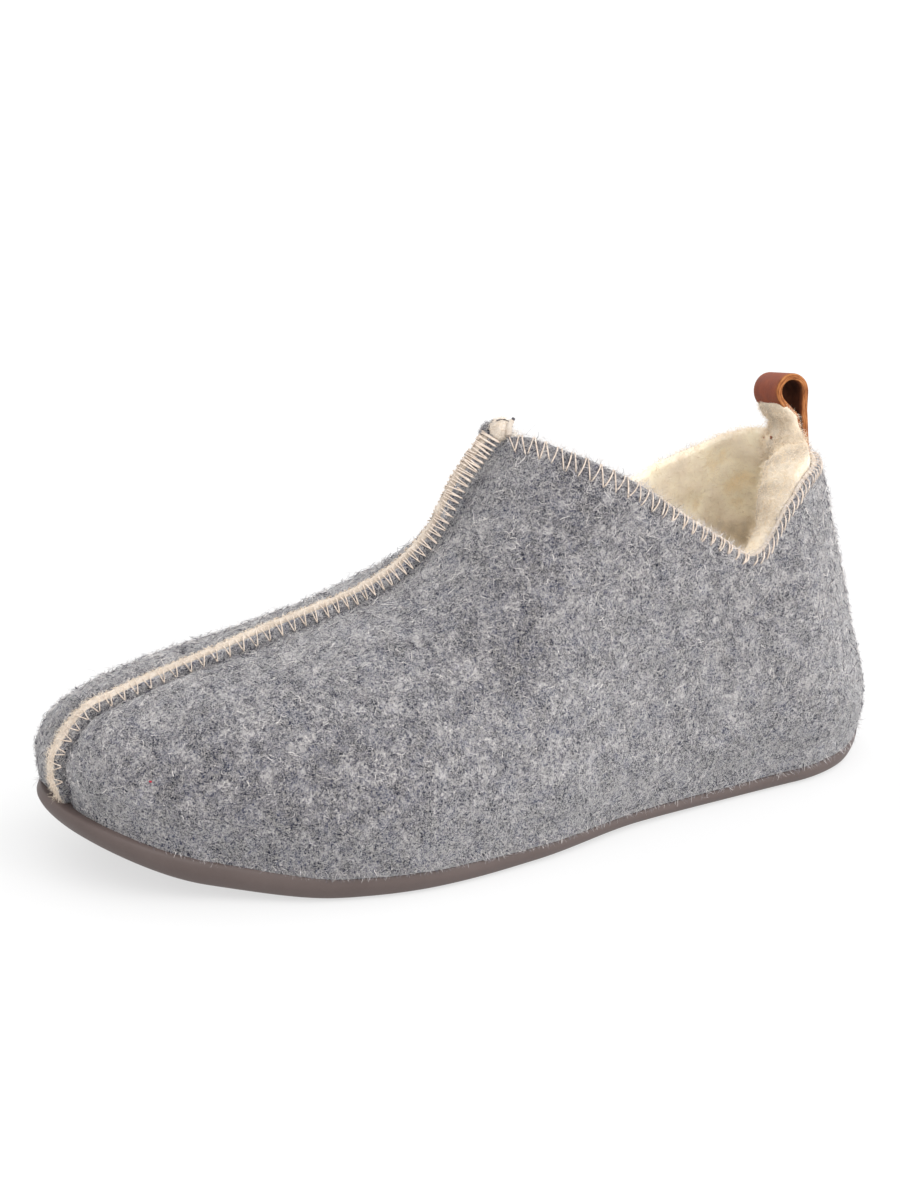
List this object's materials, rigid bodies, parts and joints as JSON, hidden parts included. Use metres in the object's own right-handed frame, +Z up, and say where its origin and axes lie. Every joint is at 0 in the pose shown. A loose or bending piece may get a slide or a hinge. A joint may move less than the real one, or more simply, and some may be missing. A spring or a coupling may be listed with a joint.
{
  "type": "bootie slipper",
  "caption": "Ankle-high felt bootie slipper with fleece lining, raised stitched vamp seam, notched collar, leather pull loop at the heel and a flat rubber sole.",
  "frame": {"origin": "on the floor, under the middle of the box round the slipper", "axes": "+X towards the toe, +Y towards the outer side of this left shoe, +Z up from the floor"},
  "size_m": [0.266, 0.0992, 0.1229],
  "materials": {
    "sole_rubber": "smooth matt taupe rubber",
    "fleece": "cream wool fleece with short clumped pile",
    "felt": "mottled grey boiled wool felt with loose fibres",
    "seam_wool": "cream wool strip and sewing thread",
    "leather": "brown waxed leather with raw cut edges"
  },
  "bodies": {
    "root": {"outsole": "sole_rubber", "insole": "fleece", "upper": "felt", "seam_strip": "seam_wool", "pull_loop": "leather"}
  },
  "joints": []
}
